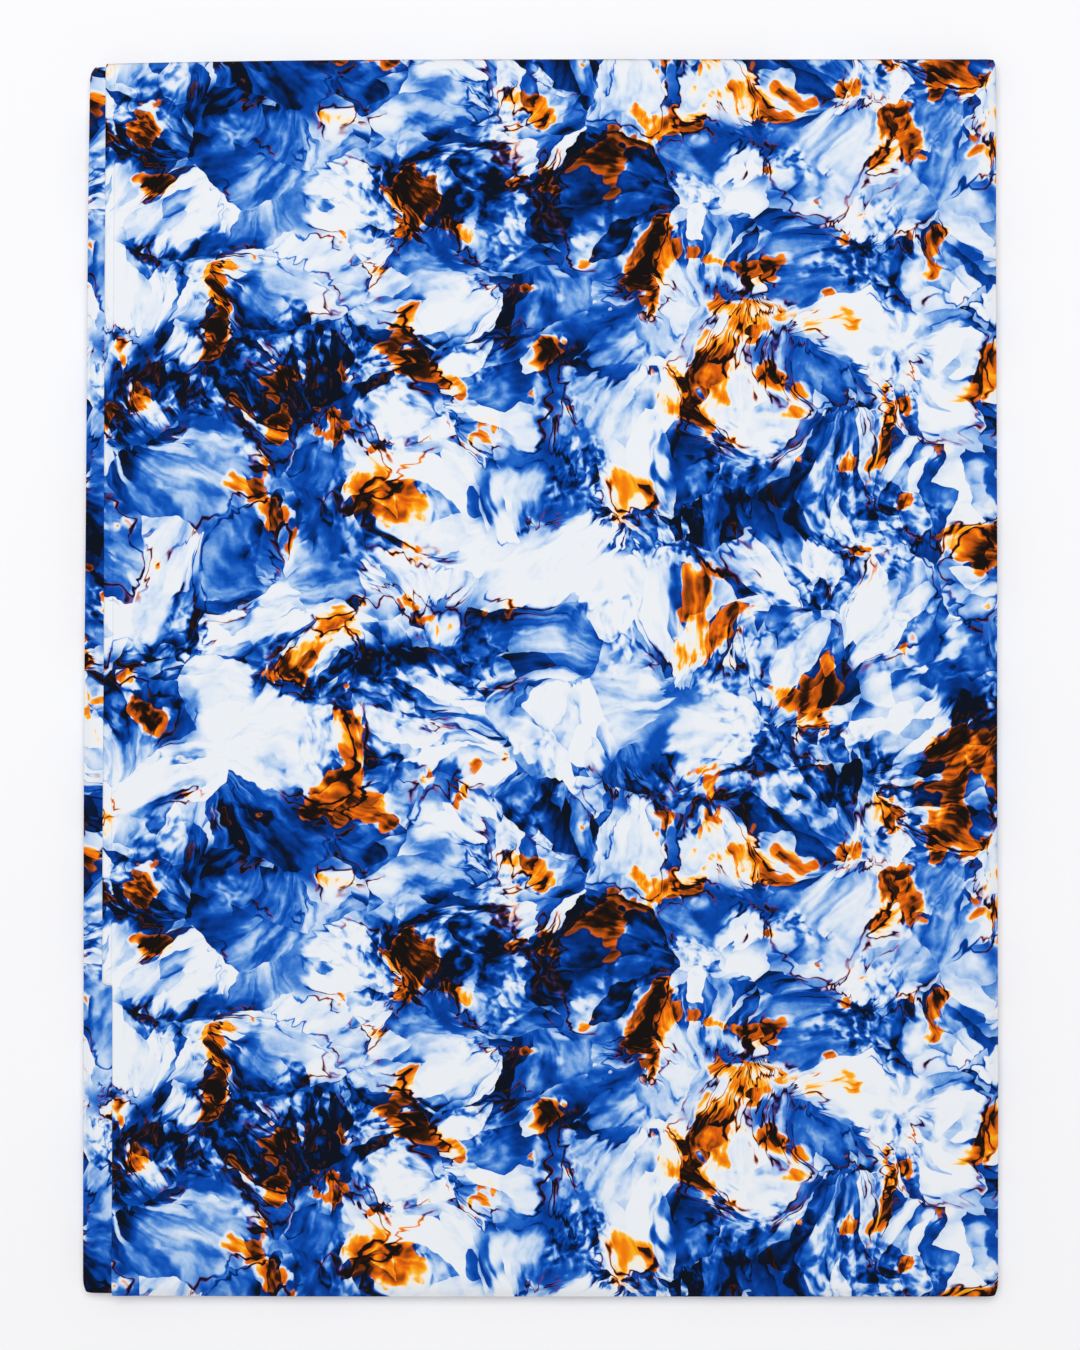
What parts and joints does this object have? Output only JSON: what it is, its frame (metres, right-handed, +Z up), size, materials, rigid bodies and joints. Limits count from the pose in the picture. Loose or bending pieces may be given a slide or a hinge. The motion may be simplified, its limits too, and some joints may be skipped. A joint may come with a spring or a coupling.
{
  "type": "folded wax print cotton cloth",
  "caption": "Long cut length of wax-printed cotton, doubled along its middle and laid back and forth into a flat rectangular pile that rests on a surface.",
  "frame": {"origin": "on the surface that the pile rests on, under the middle of the pile", "axes": "+X across the pile, from the side of the cut ends to the other folds; +Y along its long side, from the lengthwise fold to the selvedges; +Z up through the layers"},
  "size_m": [0.4525, 0.612, 0.0157],
  "materials": {
    "wax_print_cotton": "matt printed plain weave, cobalt and white with orange and near-black touches"
  },
  "bodies": {
    "root": {"folded_cloth": "wax_print_cotton"}
  },
  "joints": []
}
